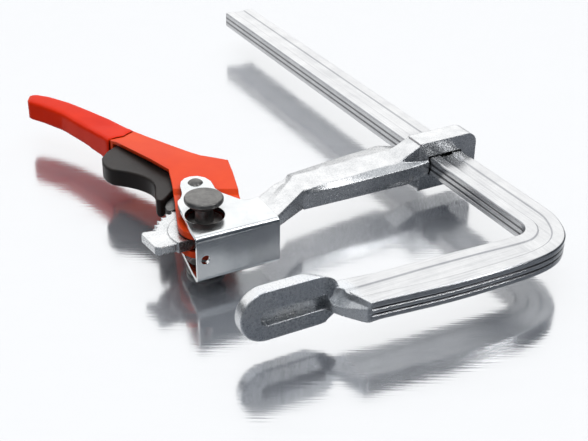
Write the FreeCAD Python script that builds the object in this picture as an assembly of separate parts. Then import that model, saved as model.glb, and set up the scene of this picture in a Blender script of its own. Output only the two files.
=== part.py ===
import math
import os

import FreeCAD
import Part

# Lever clamp lying on its side, in millimetres.
# Origin: centre of the fixed jaw's clamping face.
# X runs along the rail away from the fixed jaw, Y from the rail towards the jaw tips,
# Z is normal to the plane of the clamp.

# Rail
RAIL_WIDTH = 22.0
RAIL_THICK = 11.0
RAIL_END = 359.5
THROAT = 142.0
RAIL_PLAY = 0.5
LAND = 6.3
GROOVE_DEPTH = 0.8
GROOVE_SLOPE = 1.3
RAIL_BEVEL = 0.7
STRIPE_AT = 1.7
STRIPE_HALF = 0.8
STRIPE_DEPTH = 0.7

# Fixed jaw pressure plate, laid out with its clamping face at FACE
FACE = -4.6
PLATE_BACK = -12.0
PLATE_HALF = 13.8
PLATE_TIP = 26.0
PLATE_ROOT = -27.0

# Pivots
FULCRUM = (70.5, 6.7)
RIVET = (104.6, -3.4)

# Eye of the sliding arm, round the rail
EYE_FRONT = 82.0
EYE_BACK = 98.4
EYE_HALF = 15.2

# Toothed head of the sliding arm
HEAD_HALF = 2.4
BOSS_HALF = 3.1
BOSS_RADIUS = 19.3
TOOTH_RADIUS = 27.0
TOOTH_DEPTH = 2.0
TOOTH_STEP = 9.0
TOOTH_FIRST = 62.0
TOOTH_COUNT = 10

# Folded handle
SHEET = 2.0
LEVEL_HEAD = 7.2
LEVEL_MAIN = 9.2
LEVEL_GRIP = 5.8
COAT = 0.9

# Pressure shoe
SHOE_HALF = 13.5
SHOE_SHEET = 2.2
SHOE_BEND = 3.4
SHOE_FACE = 46.4
EAR_DROP = 2.0
HOLE_CENTRE = (66.6, 8.1)
HOLE_RADIUS = 10.4

# Pawl and release lever
PAWL_HALF = 2.3
TIP_GAP = 0.35
LEVER_HALF = 5.2

# Pins
PIN_RADIUS = 4.8
RUNNING = 0.06
STEM_RADIUS = 2.6
SLEEVE_RADIUS = 4.0

RAIL_IN = -THROAT
RAIL_OUT = -THROAT - RAIL_WIDTH
HALF = RAIL_THICK / 2.0


def vec(x, y, z=0.0):
    return FreeCAD.Vector(x, y, z)


def polygon(points, z=0.0):
    corners = [vec(x, y, z) for x, y in points]
    return Part.makePolygon(corners + [corners[0]])


def prism(points, low, high):
    return Part.Face(polygon(points, low)).extrude(vec(0, 0, high - low))


def spline(points, first=None, last=None):
    curve = Part.BSplineCurve()
    places = [vec(x, y) for x, y in points]
    if first is None:
        first = (points[1][0] - points[0][0], points[1][1] - points[0][1])
    if last is None:
        last = (points[-1][0] - points[-2][0], points[-1][1] - points[-2][1])
    curve.interpolate(Points=places, InitialTangent=vec(*first).normalize(),
                      FinalTangent=vec(*last).normalize())
    return curve.toShape()


def line(start, end, z=0.0):
    return Part.makeLine(vec(start[0], start[1], z), vec(end[0], end[1], z))


def disc(centre, radius, low, high):
    return Part.makeCylinder(radius, high - low, vec(centre[0], centre[1], low))


def polar(centre, radius, degrees):
    angle = math.radians(degrees)
    return (centre[0] + radius * math.cos(angle), centre[1] + radius * math.sin(angle))


def arc_points(centre, radius, start, end, count):
    step = (end - start) / (count - 1)
    return [polar(centre, radius, start + step * i) for i in range(count)]


def rounded(shape, radius, test):
    return shape.makeFillet(radius, [edge for edge in shape.Edges if test(edge)])


def bevelled(shape, size, test):
    return shape.makeChamfer(size, [edge for edge in shape.Edges if test(edge)])


def level(edge, height):
    box = edge.BoundBox
    return box.ZLength < 0.01 and abs(abs(box.ZMin) - height) < 0.01


def save(name, shape):
    merged = shape.removeSplitter()
    if merged.isValid():
        shape = merged
    solids = shape.Solids
    if len(solids) != 1:
        raise RuntimeError(name + " has " + str(len(solids)) + " solids")
    if not shape.isValid():
        raise RuntimeError(name + " is not valid")
    # The clamping face of the fixed jaw comes to the origin
    solids[0].translate(vec(-FACE, 0, 0))
    solids[0].exportStep(os.path.join("parts", name + ".step"))
    print(name, round(solids[0].Volume), len(shape.Faces))


# The same points moved to the left of the way they run
def shifted(points, amount):
    moved = []
    for index, (x, y) in enumerate(points):
        before = points[max(index - 1, 0)]
        after = points[min(index + 1, len(points) - 1)]
        run_x = after[0] - before[0]
        run_y = after[1] - before[1]
        length = math.hypot(run_x, run_y)
        moved.append((x - amount * run_y / length, y + amount * run_x / length))
    return moved


# Bent rail outline, or one that lies inside it by the inset; a tool outline runs past the rail's end
BEND = 10.4
JAW_IN = [(-12.4, RAIL_IN + BEND), (-11.6, -112.0), (-10.2, -80.0), (-9.8, -62.0), (-9.2, -44.0)]
JAW_OUT = [(-31.2, -32.0), (-32.6, -47.0), (-34.6, -66.0), (-35.8, -86.0), (-36.1, RAIL_OUT + 60.0),
           (-35.9, RAIL_OUT + 44.0), (-34.4, RAIL_OUT + 29.5), (-30.2, RAIL_OUT + 17.5),
           (-22.4, RAIL_OUT + 8.5), (-11.5, RAIL_OUT + 2.7), (1.0, RAIL_OUT)]


def rail_outline(inset, height, tops=None, is_tool=True):
    end = RAIL_END + 20.0 if is_tool else RAIL_END
    inner = shifted(JAW_IN, inset)
    outer = shifted(JAW_OUT, inset)
    inner[0] = (JAW_IN[0][0] - inset, JAW_IN[0][1])
    outer[-1] = (JAW_OUT[-1][0], RAIL_OUT + inset)
    if tops is not None:
        inner[-1] = (inner[-1][0], tops[0])
        outer[0] = (outer[0][0] + 0.2, tops[1])
    centre = (JAW_IN[0][0] + BEND, RAIL_IN + BEND)
    straight = RAIL_IN - inset
    edges = [
        line((end, straight), (centre[0], straight)),
        Part.Arc(vec(centre[0], straight), vec(*polar(centre, BEND + inset, 225.0)), vec(*inner[0])).toShape(),
        spline(inner, first=(0, 1)),
        line(inner[-1], outer[0]),
        spline(outer, last=(1, 0)),
        line(outer[-1], (end, RAIL_OUT + inset)),
        line((end, RAIL_OUT + inset), (end, straight)),
    ]
    wire = Part.Wire(edges)
    wire.translate(vec(0, 0, height))
    return wire


# Outline of the pressure plate at one depth, with its straight sides and root ending where told
def plate_outline(at_x, straight_end, root_y):
    centre_y = PLATE_TIP - PLATE_HALF
    tip = Part.Arc(vec(at_x, centre_y, PLATE_HALF), vec(at_x, PLATE_TIP, 0), vec(at_x, centre_y, -PLATE_HALF))
    run = root_y - straight_end
    shape = [(0.0, 1.0), (0.49, 0.895), (0.815, 0.66), (1.0, 0.0), (0.815, -0.66), (0.49, -0.895), (0.0, -1.0)]
    curve = Part.BSplineCurve()
    curve.interpolate(Points=[vec(at_x, straight_end + part * run, high * PLATE_HALF) for part, high in shape],
                      InitialTangent=vec(0, -1, 0), FinalTangent=vec(0, 1, 0))
    side_top = Part.makeLine(vec(at_x, centre_y, PLATE_HALF), vec(at_x, straight_end, PLATE_HALF))
    side_low = Part.makeLine(vec(at_x, centre_y, -PLATE_HALF), vec(at_x, straight_end, -PLATE_HALF))
    return Part.Wire([tip.toShape(), side_low, curve.toShape().reversed(), side_top])


# Polygon that keeps its height beside the bar and dips, by the slope, from there to the plate
def tilted(points, height, slope):
    corners = [vec(x, y, height - slope * max(y - JAW_OUT[0][1], 0.0)) for x, y in points]
    return Part.makePolygon(corners + [corners[0]])


def build_rail_jaw():
    body = Part.Face(rail_outline(0.0, -HALF, is_tool=False)).extrude(vec(0, 0, RAIL_THICK))
    body = bevelled(body, RAIL_BEVEL, lambda edge: level(edge, HALF) and edge.Length > 12)

    # Two fine grooves along the narrow faces, round the bend and up the jaw
    for middle in (-STRIPE_AT, STRIPE_AT):
        ring = Part.Face(rail_outline(-1.0, middle - STRIPE_HALF)).extrude(vec(0, 0, 2 * STRIPE_HALF))
        for side in (-1, 1):
            mouth = rail_outline(0.0, middle + side * STRIPE_HALF)
            floor = rail_outline(STRIPE_DEPTH, middle)
            ring = ring.cut(Part.makeLoft([mouth, floor], True, True))
        body = body.cut(ring)

    # Forged pressure plate, its root drawn in towards the clamping side
    back = plate_outline(PLATE_BACK, -14.0, PLATE_ROOT)
    front = plate_outline(FACE, -4.0, PLATE_ROOT + 4.5)
    plate = Part.makeLoft([back, front], True, True)
    plate = rounded(plate, 1.2, lambda edge: edge.BoundBox.XMin > FACE - 0.01)
    plate = bevelled(plate, 0.5, lambda edge: edge.BoundBox.XMax < PLATE_BACK + 0.01)

    # Neck joining the bent bar to the plate, with a ledge below its steep outer wall
    corner = [(-31.0, -38.0), (-31.2, -32.0)]
    inside = [(-9.6, -46.0), (-31.0, -48.0)]
    full = corner + [(-30.6, -30.6), (-28.6, -28.8), (-22.0, -24.0), (-16.9, -21.0), (-10.0, -17.0),
                     (-7.0, -19.0), (-7.6, -30.0)] + inside
    lean = corner + [(-30.2, -31.7), (-28.6, -31.3), (-20.8, -28.6), (-14.4, -26.6), (-10.0, -22.0),
                     (-7.0, -22.0), (-7.6, -30.0)] + inside
    shoulder = [(a + 0.25 * (c - a), b + 0.25 * (d - b)) for (a, b), (c, d) in zip(lean, full)]
    levels = [polygon(lean, HALF), tilted(shoulder, 2.9, 0.17), tilted(full, 2.4, 0.38), polygon(full, -HALF)]
    body = body.fuse(Part.makeLoft(levels, True, True)).fuse(plate)

    # Shallow channel down the middle of both wide faces
    for side in (1, -1):
        wide = rail_outline(LAND, side * (HALF + 0.001), (-26.5, -31.0))
        narrow = rail_outline(LAND + GROOVE_SLOPE, side * (HALF - GROOVE_DEPTH), (-26.0, -30.6))
        body = body.cut(Part.makeLoft([wide, narrow], True, False))

    # Long pocket in the back of the plate
    high = 2.8
    low = -5.2
    middle = (high + low) / 2.0
    end_y = 15.6 - (high - low) / 2.0
    far_y = -20.5
    tip = Part.Arc(vec(0, end_y, high), vec(0, 15.6, middle), vec(0, end_y, low))
    lower = Part.makeLine(vec(0, end_y, low), vec(0, far_y, low))
    close = Part.makeLine(vec(0, far_y, low), vec(0, far_y, high))
    upper = Part.makeLine(vec(0, far_y, high), vec(0, end_y, high))
    pocket = Part.Face(Part.Wire([tip.toShape(), lower, close, upper])).extrude(vec(20, 0, 0))
    pocket.translate(vec(PLATE_BACK - 15.8, 0, 0))
    return body.cut(pocket)


# Toothed edge of the arm head as a list of points, from the nose to the hidden side
def tooth_points():
    points = []
    for index in range(TOOTH_COUNT):
        top = TOOTH_FIRST - index * TOOTH_STEP
        points.append(polar(FULCRUM, TOOTH_RADIUS - TOOTH_DEPTH, top + 4.2))
        points.append(polar(FULCRUM, TOOTH_RADIUS - 0.5, top + 0.9))
        points.append(polar(FULCRUM, TOOTH_RADIUS, top))
        points.append(polar(FULCRUM, TOOTH_RADIUS - TOOTH_DEPTH, top - 1.6))
    return points


def build_slide_arm():
    # Eye round the rail
    eye_end = RAIL_OUT - 10.8
    eye = Part.makeBox(EYE_BACK - EYE_FRONT, 39.5, 2 * EYE_HALF, vec(EYE_FRONT, eye_end, -EYE_HALF))
    eye = rounded(eye, 7.0, lambda e: e.BoundBox.XLength > 10 and e.BoundBox.YMin < eye_end + 1)
    eye = rounded(eye, 4.0, lambda e: e.BoundBox.XMin > EYE_BACK - 0.1)

    # Straight beam, bevelled above and below a flat middle band
    foot = RAIL_IN + 16.0
    sunk = RAIL_IN - 8.0
    top = [(79.4, -56.6), (80.8, -79.7), (83.1, -103.0), (85.0, foot), (85.6, sunk), (98.0, sunk),
           (99.6, foot), (98.4, -101.1), (97.4, -78.4), (95.9, -58.8)]
    mid = [(78.2, -56.2), (78.2, -78.1), (78.9, -103.0), (79.2, foot), (82.0, sunk), (98.4, sunk),
           (113.0, foot), (110.6, -102.3), (107.8, -82.2), (104.6, -60.0)]
    low = [(78.4, -56.6), (78.1, -79.7), (77.7, -103.0), (77.3, foot)] + top[4:]
    band = 3.0
    beam = prism(mid, -band, band)
    beam = beam.fuse(Part.makeLoft([polygon(top, 6.0), polygon(mid, band)], True, True))
    beam = beam.fuse(Part.makeLoft([polygon(low, -6.0), polygon(mid, -band)], True, True))

    # Jog towards the head, getting thinner on the way
    jog_top = [(79.8, -62.0), (79.4, -56.6), (65.6, -35.0), (63.4, -31.0), (64.0, -25.0), (73.6, -32.0),
               (95.9, -58.8), (96.1, -62.0)]
    jog_mid = [(78.2, -62.0), (78.2, -56.2), (64.6, -34.6), (63.2, -30.0), (64.0, -17.0), (78.6, -30.0),
               (104.4, -59.8), (104.8, -62.0)]
    beam = beam.fuse(prism(jog_mid, -2.4, 2.4))
    for side in (1, -1):
        slope = [vec(x, y, side * (6.0 - 0.10 * (y + 57.0))) for x, y in jog_top]
        base = [vec(x, y, side * 2.4) for x, y in jog_mid]
        half = Part.makeLoft([Part.makePolygon(row + [row[0]]) for row in (slope, base)], True, True)
        beam = beam.fuse(half.common(Part.makeBox(80, 80, 12, vec(40, -80, -6))))

    # Ramp from the beam up to the taller eye
    ramp_from = RAIL_IN + 18.5
    ramp_to = RAIL_IN + 5.0
    for side in (1, -1):
        ramp_low = [vec(84.9, ramp_from, side * 5.9), vec(99.0, ramp_from, side * 5.9),
                    vec(104.0, ramp_from, side * 2.0), vec(82.4, ramp_from, side * 2.0)]
        ramp_top = [vec(82.2, ramp_to, side * 15.0), vec(95.5, ramp_to, side * 15.0),
                    vec(98.2, ramp_to, side * 2.0), vec(82.2, ramp_to, side * 2.0)]
        wires = [Part.makePolygon(row + [row[0]]) for row in (ramp_low, ramp_top)]
        beam = beam.fuse(Part.makeLoft(wires, True, True))

    # Flat head with the tooth arc and the nose
    nose = [(63.8, 16.0), (64.0, 33.8), (66.0, 36.4), (80.6, 37.9), (82.4, 36.4),
            polar(FULCRUM, TOOTH_RADIUS + 0.4, TOOTH_FIRST + 4.2)]
    back = arc_points(FULCRUM, TOOTH_RADIUS, TOOTH_FIRST - TOOTH_COUNT * TOOTH_STEP + 2.0, -66.0, 8)
    edge = [(88.6, -33.2), (90.8, -36.8), (94.4, -42.4), (98.2, -48.2), (100.0, -54.0)]
    root = [(95.0, -60.0), (76.0, -40.0), (63.4, -31.0), (63.4, 0.0)]
    head = prism(nose + tooth_points() + back + edge + root, -HEAD_HALF, HEAD_HALF)
    head = rounded(head, 0.5, lambda e: level(e, HEAD_HALF) and e.Length > 8)
    boss = disc(FULCRUM, BOSS_RADIUS, -BOSS_HALF, BOSS_HALF)
    keep = prism([(63.4, -30), (63.4, 30), (95, 30), (95, -30)], -5, 5)
    arm = beam.fuse([head, boss.common(keep), eye])

    # Way for the rail and bore for the fulcrum pin
    way = Part.makeBox(60, RAIL_WIDTH + 2 * RAIL_PLAY, RAIL_THICK + 2 * RAIL_PLAY,
                       vec(70, RAIL_OUT - RAIL_PLAY, -HALF - RAIL_PLAY))
    arm = arm.cut(way)
    arm = arm.cut(disc(FULCRUM, PIN_RADIUS, -10, 10))
    return arm


SHOE_OUTLINE = [(SHOE_FACE, 21.8), (56.9, 20.6), (67.3, 18.8), (78.0, 17.0), (83.8, 15.8), (86.6, 14.6),
                (88.2, 12.6), (90.5, 10.8)]
SHOE_EAR = [(97.5, 7.6), (104.5, 5.6), (109.2, 3.2), (111.8, 0.0), (112.4, -3.6), (111.2, -7.6), (107.6, -10.6),
            (102.4, -11.6), (96.0, -10.6)]
SHOE_BACK = [(90.5, -8.6), (84.2, -9.8), (79.5, -12.3), (74.4, -14.8), (71.8, -17.0), (71.0, -19.3),
             (71.2, -24.9), (SHOE_FACE, -24.9)]


def build_pressure_shoe():
    whole = prism(SHOE_OUTLINE + SHOE_BACK, -SHOE_HALF, SHOE_HALF)
    bends = [e for e in whole.Edges if level(e, SHOE_HALF) and e.BoundBox.XMax < SHOE_FACE + 0.1]
    whole = whole.makeFillet(SHOE_BEND, bends)
    inner_half = SHOE_HALF - SHOE_SHEET
    hollow = prism([(SHOE_FACE + SHOE_SHEET, 40), (SHOE_FACE + SHOE_SHEET, -40), (140, -40), (140, 40)],
                   -inner_half, inner_half)
    bends = [e for e in hollow.Edges if level(e, inner_half) and e.BoundBox.XMax < SHOE_FACE + SHOE_SHEET + 0.1]
    hollow = hollow.makeFillet(SHOE_BEND - SHOE_SHEET, bends)
    shoe = whole.cut(hollow)

    # Ears, stepped inwards onto the handle
    for side in (1, -1):
        high = side * SHOE_HALF
        low = side * inner_half
        drop = side * EAR_DROP
        section = [(89.0, low), (90.8, low), (93.6, low - drop), (120.0, low - drop),
                   (120.0, high - drop), (94.3, high - drop), (91.5, high), (89.0, high)]
        corners = [vec(x, 30, z) for x, z in section]
        slab = Part.Face(Part.makePolygon(corners + [corners[0]])).extrude(vec(0, -60, 0))
        ear_plan = prism([(89.0, 12.0), (90.5, 10.8)] + SHOE_EAR + [(90.5, -8.6), (89.0, -8.9)], -20, 20)
        shoe = shoe.fuse(slab.common(ear_plan))
    shoe = shoe.removeSplitter()
    shoe = shoe.cut(disc(HOLE_CENTRE, HOLE_RADIUS, -20, 20))
    shoe = shoe.cut(disc(RIVET, STEM_RADIUS + RUNNING, -20, 20))
    cross = Part.makeCylinder(2.5, 6.0, vec(SHOE_FACE - 2, 17.0, 0), vec(1, 0, 0))
    shoe = shoe.cut(cross)
    return shoe


# Direction square to the crease in the handle
CREASE_ANGLE = -27.0
CREASE_AT = 29.6


def along(distance, sideways=0.0):
    base = polar(FULCRUM, distance, CREASE_ANGLE)
    return polar(base, sideways, CREASE_ANGLE + 90.0)


# Band of material whose height changes along the handle
def envelope(shrink, grip_extra=0.0):
    stations = [(-60.0, LEVEL_HEAD), (CREASE_AT, LEVEL_HEAD), (CREASE_AT + 2.4, LEVEL_MAIN),
                (68.0, LEVEL_MAIN), (118.0, LEVEL_GRIP), (190.0, LEVEL_GRIP)]
    upper = []
    for distance, height in stations:
        extra = grip_extra if distance > 60.0 else 0.0
        upper.append((distance, height - shrink + extra))
    profile = upper + [(distance, -height) for distance, height in reversed(upper)]
    corners = []
    for distance, height in profile:
        x, y = along(distance, -120.0)
        corners.append(vec(x, y, height))
    face = Part.Face(Part.makePolygon(corners + [corners[0]]))
    far = polar((0.0, 0.0), 240.0, CREASE_ANGLE + 90.0)
    return face.extrude(vec(far[0], far[1], 0))


# Plan of the handle, counter-clockwise from the head
HEAD_REACH = RIVET[0] - SHOE_FACE - SHOE_SHEET - 0.3
HEAD_END = arc_points(RIVET, HEAD_REACH, 172.0, 190.5, 7)
HANDLE_FRONT = [(130.1, 1.8), (144.0, 5.4), (160.0, 9.4), (179.6, 14.6), (182.0, 16.2), (192.0, 18.6),
                (214.0, 23.4), (236.0, 28.9), (252.6, 36.4), (261.8, 41.8)]
HANDLE_TIP = [(266.2, 43.2), (270.0, 42.0), (271.6, 38.8), (270.2, 35.0)]
HANDLE_BACK = [(263.4, 28.6), (249.0, 20.3), (231.6, 13.1), (214.1, 6.4), (194.9, 0.6), (177.5, -5.6),
               (161.3, -11.8), (145.7, -18.0), (138.9, -21.3), (129.4, -29.3), (125.3, -32.7),
               (110.6, -28.8), (85.2, -20.9), (60.0, -13.8)]


def handle_plan():
    nose_round = arc_points(FULCRUM, 14.0, 71.0, 128.0, 8)
    return nose_round + HEAD_END + list(reversed(HANDLE_BACK)) + list(reversed(HANDLE_TIP)) \
        + list(reversed(HANDLE_FRONT)) + [(117.0, 5.6), (99.0, 11.4)]


def build_handle():
    plan = handle_plan()
    solid = prism(plan, -12, 12).common(envelope(0.0))

    # Room inside the fold, open towards the rail
    inner_nose = arc_points(FULCRUM, 14.0 - SHEET, 71.0, 128.0, 6)
    inner_end = arc_points(RIVET, HEAD_REACH - SHEET, 172.2, 189.0, 6)
    shift = SHEET
    front = [(x + 0.25 * shift, y - 0.97 * shift) for x, y in HANDLE_FRONT[1:]]
    room = inner_nose + inner_end + [(40.0, -14.0), (40.0, -70.0), (300.0, -70.0), (300.0, 20.0), (266.5, 34.0)] \
        + list(reversed(front)) + [(129.8, -0.2), (98.4, 9.3)]
    cavity = prism(room, -12, 12).common(envelope(SHEET))
    shell = solid.cut(cavity)

    # Front fold left out beside the release lever
    window = [(98.5, 2.0), (130.0, -1.5), (144.6, 3.0), (181.0, 12.6), (184.5, 30.0), (98.5, 30.0)]
    shell = shell.cut(prism(window, -20, 20).common(envelope(SHEET)))

    # Slot for the toothed head
    slot = arc_points(FULCRUM, 30.0, 20.0, 152.0, 8) + [FULCRUM, (110.0, -2.0), (110.0, 10.0)]
    shell = shell.cut(prism(slot, -(BOSS_HALF + 0.5), BOSS_HALF + 0.5))
    shell = shell.cut(disc(FULCRUM, PIN_RADIUS + RUNNING, -20, 20))
    shell = shell.cut(disc(RIVET, STEM_RADIUS, -20, 20))
    return shell


def build_grip_coat():
    front = HANDLE_FRONT[4:]
    back = HANDLE_BACK[:5]
    plan = [(183.4, 18.4)] + [(x - 0.3, y + 1.0) for x, y in front[1:]] \
        + [(266.4, 44.4), (270.9, 43.0), (272.8, 38.8), (271.3, 34.2)] \
        + [(x + 0.5, y - 0.9) for x, y in back[:4]] + [(195.2, -0.3), (190.0, -1.6), (184.0, 8.0)]
    outer = prism(plan, -12, 12).common(envelope(-COAT))
    inner = prism(handle_plan(), -14, 14).common(envelope(0.0))
    coat = outer.cut(inner)
    opening = [(170.0, -12.0), (300.0, 20.0), (266.0, 33.0), (258.0, 34.0), (236.0, 24.0), (192.0, 10.0)]
    return coat.cut(prism(opening, -(LEVEL_GRIP - SHEET), LEVEL_GRIP - SHEET))


# Plan of the steel pawl, its tip riding just outside the teeth
def pawl_plan():
    hub = arc_points(RIVET, 6.2, -160.0, 40.0, 15)
    rim = TOOTH_RADIUS + TIP_GAP
    outer = [(111.0, 3.6), (110.4, 8.2), (107.0, 12.6), (102.4, 15.8), polar(FULCRUM, rim + 2.2, 19.0)]
    tip = [polar(FULCRUM, rim, 16.2), polar(FULCRUM, rim, 12.0), polar(FULCRUM, rim + 1.2, 8.0)]
    inner = [polar(FULCRUM, rim + 1.6, 2.0), polar(RIVET, 6.2, 172.0)]
    return hub + outer + tip + inner


def build_pawl():
    body = prism(pawl_plan(), -PAWL_HALF, PAWL_HALF)
    return body.cut(disc(RIVET, SLEEVE_RADIUS + 0.04, -5, 5))


def build_release_lever():
    # Thumb paddle with a short leg reaching down towards the teeth
    outline = [(179.4, 12.6), (178.6, 16.6), (174.6, 22.4), (168.4, 27.6), (162.0, 29.6), (156.4, 29.6),
               (151.3, 28.0), (148.0, 24.8), (144.4, 21.0), (139.6, 17.4), (134.9, 14.8), (130.3, 13.2),
               (126.4, 12.7), (122.4, 13.2), (116.4, 15.6), (110.4, 17.9), (107.2, 18.5), (105.2, 17.2),
               (105.4, 15.0), (108.6, 11.0), (112.0, 7.0), (114.0, 0.5), (128.0, -3.4),
               (143.0, 1.0), (160.0, 5.6)]
    body = prism(outline, -LEVER_HALF, LEVER_HALF)
    body = rounded(body, 1.2, lambda e: level(e, LEVER_HALF) and e.Length > 2.5)
    core = prism(pawl_plan(), -PAWL_HALF, PAWL_HALF)
    return body.cut(core)


def build_lever_spring():
    # Short coil round the sleeve that turns the lever towards the teeth
    wire = 0.5
    radius = SLEEVE_RADIUS + wire
    pitch = 1.1
    turns = 1.25
    start = PAWL_HALF + wire + 0.05
    helix = Part.makeHelix(pitch, pitch * turns, radius)
    helix.translate(vec(RIVET[0], RIVET[1], start))
    corners = []
    for index in range(6):
        across, up = polar((radius, start), wire, 60.0 * index)
        corners.append(vec(RIVET[0] + across, RIVET[1], up))
    section = Part.makePolygon(corners + [corners[0]])
    return Part.Wire(helix).makePipeShell([section], True, True)


def build_ear_rivet():
    top = SHOE_HALF - EAR_DROP
    stem = disc(RIVET, STEM_RADIUS, -top, top)
    shape = stem
    for side in (1, -1):
        ball = Part.makeSphere(5.4, vec(RIVET[0], RIVET[1], side * (top - 3.4)))
        keep = disc(RIVET, 6.0, min(side * top, side * (top + 3)), max(side * top, side * (top + 3)))
        shape = shape.fuse(ball.common(keep))
    return shape


def build_rivet_sleeve():
    inner = LEVEL_HEAD - SHEET
    tube = disc(RIVET, SLEEVE_RADIUS, -inner, inner)
    return tube.cut(disc(RIVET, STEM_RADIUS, -20, 20))


# Mushroom head as radius and height, from its underside to its flat top
HEAD_PROFILE = [(PIN_RADIUS, 15.6), (5.4, 16.4), (7.6, 17.4), (8.6, 18.4), (9.6, 18.9), (10.3, 19.8), (10.3, 21.2),
                (9.9, 21.9), (9.2, 22.3), (0.0, 22.3)]


def revolved(profile):
    corners = [vec(radius, 0, z) for radius, z in profile]
    face = Part.Face(Part.makePolygon(corners + [corners[0]]))
    body = face.revolve(vec(0, 0, 0), vec(0, 0, 1), 360)
    body.translate(vec(FULCRUM[0], FULCRUM[1], 0))
    return body


def build_fulcrum_pin():
    return revolved([(0.0, -20.3), (4.2, -20.3), (PIN_RADIUS, -19.7)] + HEAD_PROFILE)


def build_lower_head():
    bore = [(0.0, 20.3), (4.2, 20.3), (PIN_RADIUS, 19.7)]
    head = revolved(bore + HEAD_PROFILE)
    return head.mirror(vec(0, 0, 0), vec(0, 0, 1))


def build_washer(side):
    low = LEVEL_HEAD
    high = LEVEL_HEAD + 1.5
    ring = disc(FULCRUM, 9.4, low, high).cut(disc(FULCRUM, PIN_RADIUS + RUNNING, 0, 20))
    return ring if side > 0 else ring.mirror(vec(0, 0, 0), vec(0, 0, 1))


def build_spacer(side):
    low = BOSS_HALF
    high = LEVEL_HEAD - SHEET - 0.05
    ring = disc(FULCRUM, 10.5, low, high).cut(disc(FULCRUM, PIN_RADIUS + RUNNING, 0, 20))
    return ring if side > 0 else ring.mirror(vec(0, 0, 0), vec(0, 0, 1))


os.makedirs("parts", exist_ok=True)
save("rail_jaw", build_rail_jaw())
save("slide_arm", build_slide_arm())
save("pressure_shoe", build_pressure_shoe())
save("handle", build_handle())
save("grip_coat", build_grip_coat())
save("pawl", build_pawl())
save("release_lever", build_release_lever())
save("lever_spring", build_lever_spring())
save("ear_rivet", build_ear_rivet())
save("rivet_sleeve", build_rivet_sleeve())
save("fulcrum_pin", build_fulcrum_pin())
save("lower_head", build_lower_head())
save("washer_upper", build_washer(1))
save("washer_lower", build_washer(-1))
save("spacer_upper", build_spacer(1))
save("spacer_lower", build_spacer(-1))
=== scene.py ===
import math

import bpy
from mathutils import Matrix, Vector

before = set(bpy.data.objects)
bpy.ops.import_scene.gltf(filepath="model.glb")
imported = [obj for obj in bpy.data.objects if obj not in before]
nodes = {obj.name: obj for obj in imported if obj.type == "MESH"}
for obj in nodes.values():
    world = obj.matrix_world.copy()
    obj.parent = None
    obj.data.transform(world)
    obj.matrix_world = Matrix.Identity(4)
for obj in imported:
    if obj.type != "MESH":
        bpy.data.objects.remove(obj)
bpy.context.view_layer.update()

MM = 0.001


def mm(x, y, z):
    return Vector((x * MM, y * MM, z * MM))


# Camera fitted to the photograph: place in millimetres, angles in degrees
CAMERA_AT = (-387.4, 207.0, 297.4)
CAMERA_YAW = -28.70
CAMERA_PITCH = 29.92
CAMERA_ROLL = 0.83
CAMERA_LENS = 68.44
CAMERA_SENSOR = 36.0
CAMERA_NEAR = 0.01

# The clamp rests on the lower head of the fulcrum pin
FLOOR_Z = -22.35
FLOOR_GLOSS = 0.82

# Share of a painted shade line's half width that is at full strength, and rays for rounding and for the
# painted shade in recesses
LINE_CORE = 0.35
SHADER_SAMPLES = 6

# Painted shade in hollows: how far it reaches into steel and paint, and what is left of the colour there
STEEL_RECESS_SHADE = (7.0, 0.52)
PAINT_RECESS_SHADE = (14.0, 0.06)
COAT_IOR = 1.5


# Parts of node trees that the materials and the world share
def map_range(tree, value, start, end, low=0.0, high=1.0, kind="SMOOTHSTEP"):
    node = tree.nodes.new("ShaderNodeMapRange")
    node.interpolation_type = kind
    node.inputs["From Min"].default_value = start
    node.inputs["From Max"].default_value = end
    node.inputs["To Min"].default_value = low
    node.inputs["To Max"].default_value = high
    tree.links.new(value, node.inputs["Value"])
    return node.outputs["Result"]


def along_axis(tree, vector, axis):
    node = tree.nodes.new("ShaderNodeSeparateXYZ")
    tree.links.new(vector, node.inputs["Vector"])
    return node.outputs[axis]


def colour_mix(tree, kind="MIX"):
    node = tree.nodes.new("ShaderNodeMix")
    node.data_type = "RGBA"
    node.blend_type = kind
    inputs = {item.identifier: item for item in node.inputs}
    outputs = {item.identifier: item for item in node.outputs}
    return inputs["Factor_Float"], inputs["A_Color"], inputs["B_Color"], outputs["Result_Color"]


def fill_ramp(ramp, stops):
    while len(ramp.elements) < len(stops):
        ramp.elements.new(0.5)
    for element, (place, colour) in zip(ramp.elements, stops):
        element.position = place
        if not isinstance(colour, (tuple, list)):
            colour = (colour, colour, colour)
        element.color = (*colour[:3], 1.0)


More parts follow.
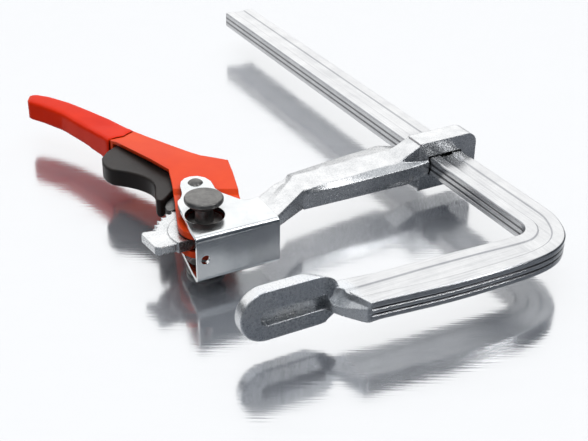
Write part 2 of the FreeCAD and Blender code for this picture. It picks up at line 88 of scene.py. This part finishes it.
# Materials are small node trees built by these helpers; sizes and depths are in millimetres
class Nodes:
    def __init__(self, name):
        self.material = bpy.data.materials.new(name)
        self.material.use_nodes = True
        self.tree = self.material.node_tree
        self.tree.nodes.clear()
        self.output = self.tree.nodes.new("ShaderNodeOutputMaterial")
        self.shader = self.tree.nodes.new("ShaderNodeBsdfPrincipled")
        self.link(self.shader.outputs["BSDF"], self.output.inputs["Surface"])
        self.place = self.tree.nodes.new("ShaderNodeTexCoord").outputs["Object"]

    def link(self, source, target):
        self.tree.links.new(source, target)

    def set(self, **values):
        for name, value in values.items():
            self.shader.inputs[name.replace("_", " ")].default_value = value

    # Noise of a grain size, stretched along the axes
    def noise(self, size, detail, rough, stretch=(1, 1, 1)):
        per = 1.0 / (size * MM)
        spread = self.tree.nodes.new("ShaderNodeMapping")
        spread.inputs["Scale"].default_value = (per / stretch[0], per / stretch[1], per / stretch[2])
        self.link(self.place, spread.inputs["Vector"])
        node = self.tree.nodes.new("ShaderNodeTexNoise")
        node.inputs["Scale"].default_value = 1.0
        node.inputs["Detail"].default_value = detail
        node.inputs["Roughness"].default_value = rough
        self.link(spread.outputs["Vector"], node.inputs["Vector"])
        return node.outputs["Fac"]

    def ramp(self, value, stops):
        node = self.tree.nodes.new("ShaderNodeValToRGB")
        fill_ramp(node.color_ramp, stops)
        self.link(value, node.inputs["Fac"])
        return node.outputs["Color"]

    def mix(self, factor, first, second, kind="MIX"):
        *targets, result = colour_mix(self.tree, kind)
        for target, value in zip(targets, (factor, first, second)):
            if isinstance(value, (int, float)):
                target.default_value = value
            elif isinstance(value, (tuple, list)):
                target.default_value = (*value[:3], 1.0)
            else:
                self.link(value, target)
        return result

    # One beyond the end of a stretch along an axis, nought before its start
    def zone(self, axis, start, end):
        return map_range(self.tree, along_axis(self.tree, self.place, axis), start * MM, end * MM)

    def math(self, operation, first, second=None):
        node = self.tree.nodes.new("ShaderNodeMath")
        node.operation = operation
        for target, value in zip(node.inputs, (first, second)):
            if isinstance(value, (int, float)):
                target.default_value = value
            elif value is not None:
                self.link(value, target)
        return node.outputs["Value"]

    # A line on both sides of the clamp's middle plane, so far from it and so wide to each side
    def line(self, place, half):
        height = self.math("ABSOLUTE", along_axis(self.tree, self.place, "Z"))
        off = self.math("ABSOLUTE", self.math("SUBTRACT", height, place * MM))
        return map_range(self.tree, off, half * LINE_CORE * MM, half * MM, 1.0, 0.0)

    def rounded(self, radius):
        node = self.tree.nodes.new("ShaderNodeBevel")
        node.samples = SHADER_SAMPLES
        node.inputs["Radius"].default_value = radius * MM
        return node.outputs["Normal"]

    # Painted shade: darkens hollows and inner corners by ambient occlusion, within a reach
    def painted_recess_shade(self, colour, reach, dark):
        node = self.tree.nodes.new("ShaderNodeAmbientOcclusion")
        node.samples = SHADER_SAMPLES
        node.inputs["Distance"].default_value = reach * MM
        shade = self.ramp(node.outputs["AO"], [(0.25, dark), (0.80, 1.0)])
        return self.mix(1.0, colour, shade, "MULTIPLY")

    def bump(self, height, depth, before=None):
        node = self.tree.nodes.new("ShaderNodeBump")
        node.inputs["Strength"].default_value = 1.0
        node.inputs["Distance"].default_value = depth * MM
        self.link(height, node.inputs["Height"])
        if before is not None:
            self.link(before, node.inputs["Normal"])
        return node.outputs["Normal"]

    def finish(self, colour, rough, normal=None):
        self.link(colour, self.shader.inputs["Base Color"])
        self.link(rough, self.shader.inputs["Roughness"])
        if normal is not None:
            self.link(normal, self.shader.inputs["Normal"])
        return self.material


def plated_steel(name, light, dark, rough_low, rough_high, grain, round_by, along):
    n = Nodes(name)
    n.set(Metallic=1.0)
    cloud = n.noise(14.0, 4.0, 0.6)
    fine = n.noise(0.35, 2.0, 0.7)
    drawn = n.noise(0.30, 2.0, 0.6, stretch=along)
    colour = n.ramp(cloud, [(0.30, dark), (0.70, light)])
    colour = n.mix(0.22, colour, n.ramp(fine, [(0.35, 0.45), (0.65, 0.85)]), "OVERLAY")
    rough = n.mix(0.5, n.ramp(cloud, [(0.3, rough_low), (0.7, rough_high)]),
                  n.ramp(drawn, [(0.3, rough_low), (0.7, rough_high)]))
    normal = n.bump(drawn, grain, n.rounded(round_by))
    normal = n.bump(fine, grain * 0.6, normal)
    # Painted shade darkens the hollows of the sheet
    return n.finish(n.painted_recess_shade(colour, *STEEL_RECESS_SHADE), rough, normal)


def forged_steel(name, light, dark, rough_low, rough_high, grain, round_by):
    n = Nodes(name)
    n.set(Metallic=1.0)
    cloud = n.noise(9.0, 5.0, 0.65)
    speck = n.noise(0.9, 4.0, 0.75)
    fine = n.noise(0.35, 2.0, 0.7)
    colour = n.ramp(cloud, [(0.30, dark), (0.70, light)])
    colour = n.mix(0.28, colour, n.ramp(speck, [(0.40, 0.30), (0.62, 0.80)]), "OVERLAY")
    rough = n.ramp(speck, [(0.35, rough_low), (0.65, rough_high)])
    normal = n.bump(speck, grain, n.rounded(round_by))
    normal = n.bump(fine, grain * 0.4, normal)
    # Painted shade darkens the hollows of the forging
    return n.finish(n.painted_recess_shade(colour, *STEEL_RECESS_SHADE), rough, normal)


# The bent bar: drawn along the rail and the jaw arm, forged rough at the plate and its neck
FORGED_FROM = (-35.0, -30.0)
JAW_ARM_FROM = (-132.0, -118.0)
# Heights over the bar's middle, and half widths, of its side grooves and of its bevels and channel walls,
# all drawn darker with painted shade; the grooves are also a real bumped dent
GROOVE = (1.7, 0.95)
BRINK = (5.12, 0.36)
# How dark the painted shade makes the side grooves and the bevels and channel walls
GROOVE_PAINTED_SHADE = (0.22, 0.22, 0.23)
BRINK_PAINTED_SHADE = (0.58, 0.59, 0.61)
GROOVE_DEPTH = 0.35
# Length of a drawing mark over its width, and how much deeper the forged grain is than the drawn one
DRAWN_STRETCH = 110
FORGED_GRAIN = 3.5


def bar_steel(name, light, dark, forged, rough_low, rough_high, grain, round_by):
    n = Nodes(name)
    n.set(Metallic=1.0)
    at_plate = n.zone("Y", *FORGED_FROM)
    at_arm = n.zone("Y", *JAW_ARM_FROM)
    cloud = n.noise(16.0, 4.0, 0.6)
    fine = n.noise(0.35, 2.0, 0.7)
    speck = n.noise(1.0, 4.0, 0.75)
    drawn = n.mix(at_arm, n.noise(0.50, 3.0, 0.65, stretch=(DRAWN_STRETCH, 1, 1)),
                  n.noise(0.50, 3.0, 0.65, stretch=(1, DRAWN_STRETCH, 1)))
    colour = n.ramp(cloud, [(0.30, dark), (0.70, light)])
    colour = n.mix(0.24, colour, n.ramp(drawn, [(0.36, 0.24), (0.56, 0.62)]), "OVERLAY")
    rough_colour = n.mix(0.35, n.ramp(cloud, [(0.35, forged), (0.70, light)]),
                         n.ramp(speck, [(0.36, 0.30), (0.60, 0.72)]), "OVERLAY")
    off_plate = n.math("SUBTRACT", 1.0, at_plate)
    # Painted shade along the side grooves and along the bevels and channel walls, kept off the forged
    # plate
    groove = n.math("MULTIPLY", n.line(*GROOVE), off_plate)
    brink_shade = n.math("MULTIPLY", n.line(*BRINK), off_plate)
    colour = n.mix(groove, colour, n.mix(1.0, colour, GROOVE_PAINTED_SHADE, "MULTIPLY"))
    colour = n.mix(brink_shade, colour, n.mix(1.0, colour, BRINK_PAINTED_SHADE, "MULTIPLY"))
    colour = n.mix(at_plate, colour, rough_colour)
    rough = n.ramp(drawn, [(0.3, rough_low), (0.7, rough_high)])
    rough = n.mix(at_plate, rough, n.ramp(speck, [(0.35, 0.20), (0.65, 0.42)]))
    height = n.mix(at_plate, n.mix(0.35, drawn, fine), speck)
    depth = map_range(n.tree, at_plate, 0.0, 1.0, grain * MM, grain * FORGED_GRAIN * MM, "LINEAR")
    normal = n.bump(n.math("SUBTRACT", 1.0, groove), GROOVE_DEPTH, n.rounded(round_by))
    normal = n.bump(height, grain, normal)
    n.link(depth, normal.node.inputs["Distance"])
    # Painted shade darkens the hollows of the bar
    return n.finish(n.painted_recess_shade(colour, *STEEL_RECESS_SHADE), rough, normal)


def paint(name, base, deep, rough, peel, round_by, coat, coat_rough):
    n = Nodes(name)
    n.set(Metallic=0.0, Specular_IOR_Level=0.0)
    n.set(Coat_Weight=coat, Coat_IOR=COAT_IOR, Coat_Roughness=coat_rough)
    cloud = n.noise(22.0, 3.0, 0.5)
    ripple = n.noise(1.1, 2.0, 0.5)
    colour = n.ramp(cloud, [(0.25, deep), (0.75, base)])
    roughness = n.ramp(n.noise(3.0, 3.0, 0.6), [(0.3, rough * 0.85), (0.7, rough * 1.2)])
    # Painted shade darkens the paint in hollows, nearly to black
    colour = n.painted_recess_shade(colour, *PAINT_RECESS_SHADE)
    return n.finish(colour, roughness, n.bump(ripple, peel, n.rounded(round_by)))


def plastic(name, base, deep, rough, grain, round_by):
    n = Nodes(name)
    n.set(Metallic=0.0, Specular_IOR_Level=0.22)
    cloud = n.noise(11.0, 3.0, 0.5)
    leather = n.noise(0.45, 2.0, 0.6)
    colour = n.ramp(cloud, [(0.3, deep), (0.7, base)])
    roughness = n.ramp(leather, [(0.3, rough * 0.85), (0.7, rough * 1.15)])
    return n.finish(colour, roughness, n.bump(leather, grain, n.rounded(round_by)))


def oxide_steel(name, light, dark, rough_low, rough_high):
    n = Nodes(name)
    n.set(Metallic=0.75)
    cloud = n.noise(3.5, 4.0, 0.6)
    fine = n.noise(0.3, 2.0, 0.7)
    colour = n.ramp(cloud, [(0.35, dark), (0.68, light)])
    rough = n.ramp(cloud, [(0.3, rough_low), (0.7, rough_high)])
    return n.finish(colour, rough, n.bump(fine, 0.012))


RAIL = bar_steel(
    "galvanised bar", light=(0.60, 0.605, 0.61), dark=(0.50, 0.505, 0.515), forged=(0.58, 0.60, 0.625),
    rough_low=0.16, rough_high=0.26, grain=0.010, round_by=1.0)
SHEET = plated_steel(
    "galvanised sheet", light=(0.66, 0.675, 0.68), dark=(0.55, 0.57, 0.58),
    rough_low=0.12, rough_high=0.22, grain=0.008, round_by=0.3, along=(1, 10, 1))
FORGED = forged_steel(
    "galvanised forging", light=(0.68, 0.685, 0.69), dark=(0.50, 0.51, 0.52),
    rough_low=0.20, rough_high=0.34, grain=0.05, round_by=1.1)
RED = paint(
    "red enamel", base=(0.84, 0.074, 0.012), deep=(0.76, 0.052, 0.009),
    rough=0.26, peel=0.004, round_by=1.0, coat=0.30, coat_rough=0.09)
RED_COAT = paint(
    "red coating", base=(0.84, 0.030, 0.003), deep=(0.70, 0.018, 0.002),
    rough=0.40, peel=0.002, round_by=0.6, coat=0.22, coat_rough=0.05)
BLACK = plastic(
    "black moulding", base=(0.015, 0.010, 0.008), deep=(0.009, 0.007, 0.006),
    rough=0.40, grain=0.02, round_by=1.2)
DARK_STEEL = oxide_steel(
    "dark steel", light=(0.19, 0.186, 0.178), dark=(0.10, 0.098, 0.095), rough_low=0.28, rough_high=0.42)
SPRING = oxide_steel(
    "spring steel", light=(0.42, 0.42, 0.42), dark=(0.30, 0.30, 0.30), rough_low=0.25, rough_high=0.38)

LOOKS = {
    "rail_jaw": RAIL, "slide_arm": FORGED, "pressure_shoe": SHEET, "handle": RED, "grip_coat": RED_COAT,
    "pawl": DARK_STEEL, "release_lever": BLACK, "lever_spring": SPRING, "ear_rivet": DARK_STEEL,
    "rivet_sleeve": SPRING, "fulcrum_pin": DARK_STEEL, "lower_head": DARK_STEEL,
    "washer_upper": DARK_STEEL, "washer_lower": DARK_STEEL, "spacer_upper": SHEET, "spacer_lower": SHEET,
}

# Edge rounding in millimetres put on the solids
ROUNDING = {
    "rail_jaw": 0.5, "slide_arm": 0.9, "pressure_shoe": 0.25, "handle": 0.45,
    "release_lever": 1.0, "fulcrum_pin": 0.35, "pawl": 0.25, "lower_head": 0.35,
}


# Points closer than this, in metres, are one point; angles in degrees
WELD_REACH = 0.00001
FLAT_WITHIN = 0.6
EDGE_OVER = 32

# The dip coat is faceted as a solid, and is rounded by a remesh of this grain in millimetres
COAT_GRAIN = 0.7
COAT_ROUNDS = 55
COAT_KEEP = 0.35


def soften(obj, width):
    weld = obj.modifiers.new("weld", "WELD")
    weld.merge_threshold = WELD_REACH
    flat = obj.modifiers.new("flat", "DECIMATE")
    flat.decimate_type = "DISSOLVE"
    flat.angle_limit = math.radians(FLAT_WITHIN)
    bevel = obj.modifiers.new("bevel", "BEVEL")
    bevel.width = width * MM
    bevel.segments = 3
    bevel.limit_method = "ANGLE"
    bevel.angle_limit = math.radians(EDGE_OVER)
    bevel.harden_normals = False
    normals = obj.modifiers.new("normals", "WEIGHTED_NORMAL")
    normals.keep_sharp = False


def melt(obj, grain, rounds, keep):
    remesh = obj.modifiers.new("remesh", "REMESH")
    remesh.mode = "VOXEL"
    remesh.voxel_size = grain * MM
    remesh.use_smooth_shade = True
    smooth = obj.modifiers.new("smooth", "SMOOTH")
    smooth.factor = 0.5
    smooth.iterations = rounds
    fewer = obj.modifiers.new("fewer", "DECIMATE")
    fewer.ratio = keep


for name, obj in nodes.items():
    obj.data.materials.clear()
    obj.data.materials.append(LOOKS[name])
    if name == "grip_coat":
        melt(obj, COAT_GRAIN, COAT_ROUNDS, COAT_KEEP)
    elif name in ROUNDING:
        soften(obj, ROUNDING[name])

# Direction over the floor to the camera's right, along which the table's streaks run
yaw = math.radians(CAMERA_YAW)
RIGHT = (math.sin(yaw), -math.cos(yaw), 0.0)

# Floor: a pale, glossy, finely streaked table top
FLOOR_HALF = 2.6
STREAK_LENGTH = 42.0
STREAK_WIDTH = 1.4
STREAK_DEPTH = 0.045
GLOSS_COLOUR = (0.655, 0.660, 0.665, 1.0)


def build_floor():
    mesh = bpy.data.meshes.new("floor")
    corners = [(-FLOOR_HALF, -FLOOR_HALF), (FLOOR_HALF, -FLOOR_HALF), (FLOOR_HALF, FLOOR_HALF),
               (-FLOOR_HALF, FLOOR_HALF)]
    mesh.from_pydata([(x, y, FLOOR_Z * MM) for x, y in corners], [], [(0, 1, 2, 3)])
    floor = bpy.data.objects.new("floor", mesh)
    bpy.context.collection.objects.link(floor)
    n = Nodes("glossy white table")
    turn = (0.0, 0.0, -math.atan2(RIGHT[1], RIGHT[0]))
    turned = n.tree.nodes.new("ShaderNodeMapping")
    turned.inputs["Rotation"].default_value = turn
    n.link(n.place, turned.inputs["Vector"])
    n.place = turned.outputs["Vector"]
    streak = n.noise(STREAK_WIDTH, 2.0, 0.5, stretch=(STREAK_LENGTH / STREAK_WIDTH, 1, 1))
    broad = n.noise(9.0, 3.0, 0.6, stretch=(5, 1, 1))
    normal = n.bump(streak, STREAK_DEPTH)
    pale = n.tree.nodes.new("ShaderNodeBsdfDiffuse")
    n.link(n.ramp(streak, [(0.35, (0.80, 0.83, 0.92)), (0.65, (0.90, 0.93, 1.0))]), pale.inputs["Color"])
    gloss = n.tree.nodes.new("ShaderNodeBsdfAnisotropic")
    gloss.inputs["Color"].default_value = GLOSS_COLOUR
    n.link(n.ramp(broad, [(0.3, 0.10), (0.7, 0.17)]), gloss.inputs["Roughness"])
    n.link(normal, gloss.inputs["Normal"])
    mixed = n.tree.nodes.new("ShaderNodeMixShader")
    mixed.inputs["Fac"].default_value = FLOOR_GLOSS
    n.link(pale.outputs["BSDF"], mixed.inputs[1])
    n.link(gloss.outputs["BSDF"], mixed.inputs[2])
    n.link(mixed.outputs["Shader"], n.output.inputs["Surface"])
    n.tree.nodes.remove(n.shader)
    mesh.materials.append(n.material)
    return floor


# World: a soft light and a strip beyond the object, a bright ceiling and a dark card on the camera's side.
# Turns are degrees from the camera's own direction, lifts over the horizon, edges from none to full
SOFTBOX = dict(turn=2.0, lift=40.0, edges=(47.0, 29.0))
SOFTBOX_COLOUR = (1.55, 1.55, 1.55, 1.0)
STRIP = dict(turn=57.4, lift=32.0, edges=(26.0, 15.0))
CARD = dict(turn=-122.6, lift=0.0, edges=(64.0, 52.0), top=(0.66, 0.78))
CARD_COLOUR = (0.060, 0.072, 0.090, 1.0)
ROOM = [(0.0, 0.25), (0.5, 0.06), (0.55, 0.10), (0.66, 0.40), (0.86, 0.45), (0.92, 0.75), (1.0, 0.75)]


def patch(tree, coords, turn, lift, edges, top=None):
    turn = math.radians(CAMERA_YAW + turn)
    lift = math.radians(lift)
    facing = tree.nodes.new("ShaderNodeVectorMath")
    facing.operation = "DOT_PRODUCT"
    facing.inputs[1].default_value = (math.cos(turn) * math.cos(lift), math.sin(turn) * math.cos(lift),
                                      math.sin(lift))
    tree.links.new(coords, facing.inputs[0])
    edge = map_range(tree, facing.outputs["Value"], *(math.cos(math.radians(angle)) for angle in edges))
    if top is None:
        return edge
    below = map_range(tree, along_axis(tree, coords, "Z"), *top, 1.0, 0.0, "LINEAR")
    both = tree.nodes.new("ShaderNodeMath")
    both.operation = "MULTIPLY"
    tree.links.new(edge, both.inputs[0])
    tree.links.new(below, both.inputs[1])
    return both.outputs["Value"]


def build_world():
    world = bpy.data.worlds.new("studio")
    bpy.context.scene.world = world
    world.use_nodes = True
    tree = world.node_tree
    tree.nodes.clear()
    coords = tree.nodes.new("ShaderNodeTexCoord").outputs["Generated"]
    height = map_range(tree, along_axis(tree, coords, "Z"), -1.0, 1.0, kind="LINEAR")
    room = tree.nodes.new("ShaderNodeValToRGB")
    tints = [(place, (light * 0.95, light, light * 1.06)) for place, light in ROOM]
    fill_ramp(room.color_ramp, tints)
    tree.links.new(height, room.inputs["Fac"])
    colour = room.outputs["Color"]
    for place, light in ((CARD, CARD_COLOUR), (STRIP, SOFTBOX_COLOUR), (SOFTBOX, SOFTBOX_COLOUR)):
        factor, under, over, result = colour_mix(tree)
        tree.links.new(patch(tree, coords, **place), factor)
        tree.links.new(colour, under)
        over.default_value = light
        colour = result
    shine = tree.nodes.new("ShaderNodeBackground")
    tree.links.new(colour, shine.inputs["Color"])
    out = tree.nodes.new("ShaderNodeOutputWorld")
    tree.links.new(shine.outputs["Background"], out.inputs["Surface"])


# Lamps: place and aim in millimetres, size in metres, power in watts; the floor mirrors none of them
def lamp(name, at, aim, size, power, skip=None):
    data = bpy.data.lights.new(name, "AREA")
    data.shape = "RECTANGLE"
    data.size = size[0]
    data.size_y = size[1]
    data.energy = power
    obj = bpy.data.objects.new(name, data)
    obj.location = mm(*at)
    look = mm(*aim) - obj.location
    obj.rotation_euler = look.to_track_quat("-Z", "Y").to_euler()
    bpy.context.collection.objects.link(obj)
    if skip is not None:
        skipped = bpy.data.collections.new(name + " skips")
        skipped.objects.link(skip)
        skipped.collection_objects[0].light_linking.link_state = "EXCLUDE"
        obj.light_linking.receiver_collection = skipped
    return obj


floor = build_floor()
build_world()
key = lamp("key", at=(60, -20, 1000), aim=(110, -60, 0), size=(0.7, 0.7), power=1.2)
key.visible_glossy = False
lamp("edge light", at=(-360, -420, 640), aim=(90, -20, 0), size=(0.08, 0.55), power=1.7, skip=floor)
lamp("grip light", at=(-285, 307, 774), aim=(120, 100, 0), size=(0.13, 0.13), power=1.1, skip=floor)

# Camera
pitch = math.radians(CAMERA_PITCH)
roll = math.radians(CAMERA_ROLL)
forward = Vector((math.cos(yaw) * math.cos(pitch), math.sin(yaw) * math.cos(pitch), -math.sin(pitch)))
right = Vector(RIGHT)
up = right.cross(forward)
rolled_right = right * math.cos(roll) + up * math.sin(roll)
rolled_up = up * math.cos(roll) - right * math.sin(roll)
data = bpy.data.cameras.new("camera")
data.sensor_width = CAMERA_SENSOR
data.sensor_fit = "HORIZONTAL"
data.lens = CAMERA_LENS
data.clip_start = CAMERA_NEAR
camera = bpy.data.objects.new("camera", data)
turn = Matrix((rolled_right, rolled_up, -forward)).transposed()
camera.matrix_world = Matrix.Translation(mm(*CAMERA_AT)) @ turn.to_4x4()
bpy.context.collection.objects.link(camera)
bpy.context.scene.camera = camera

bpy.context.scene.view_settings.view_transform = "Standard"
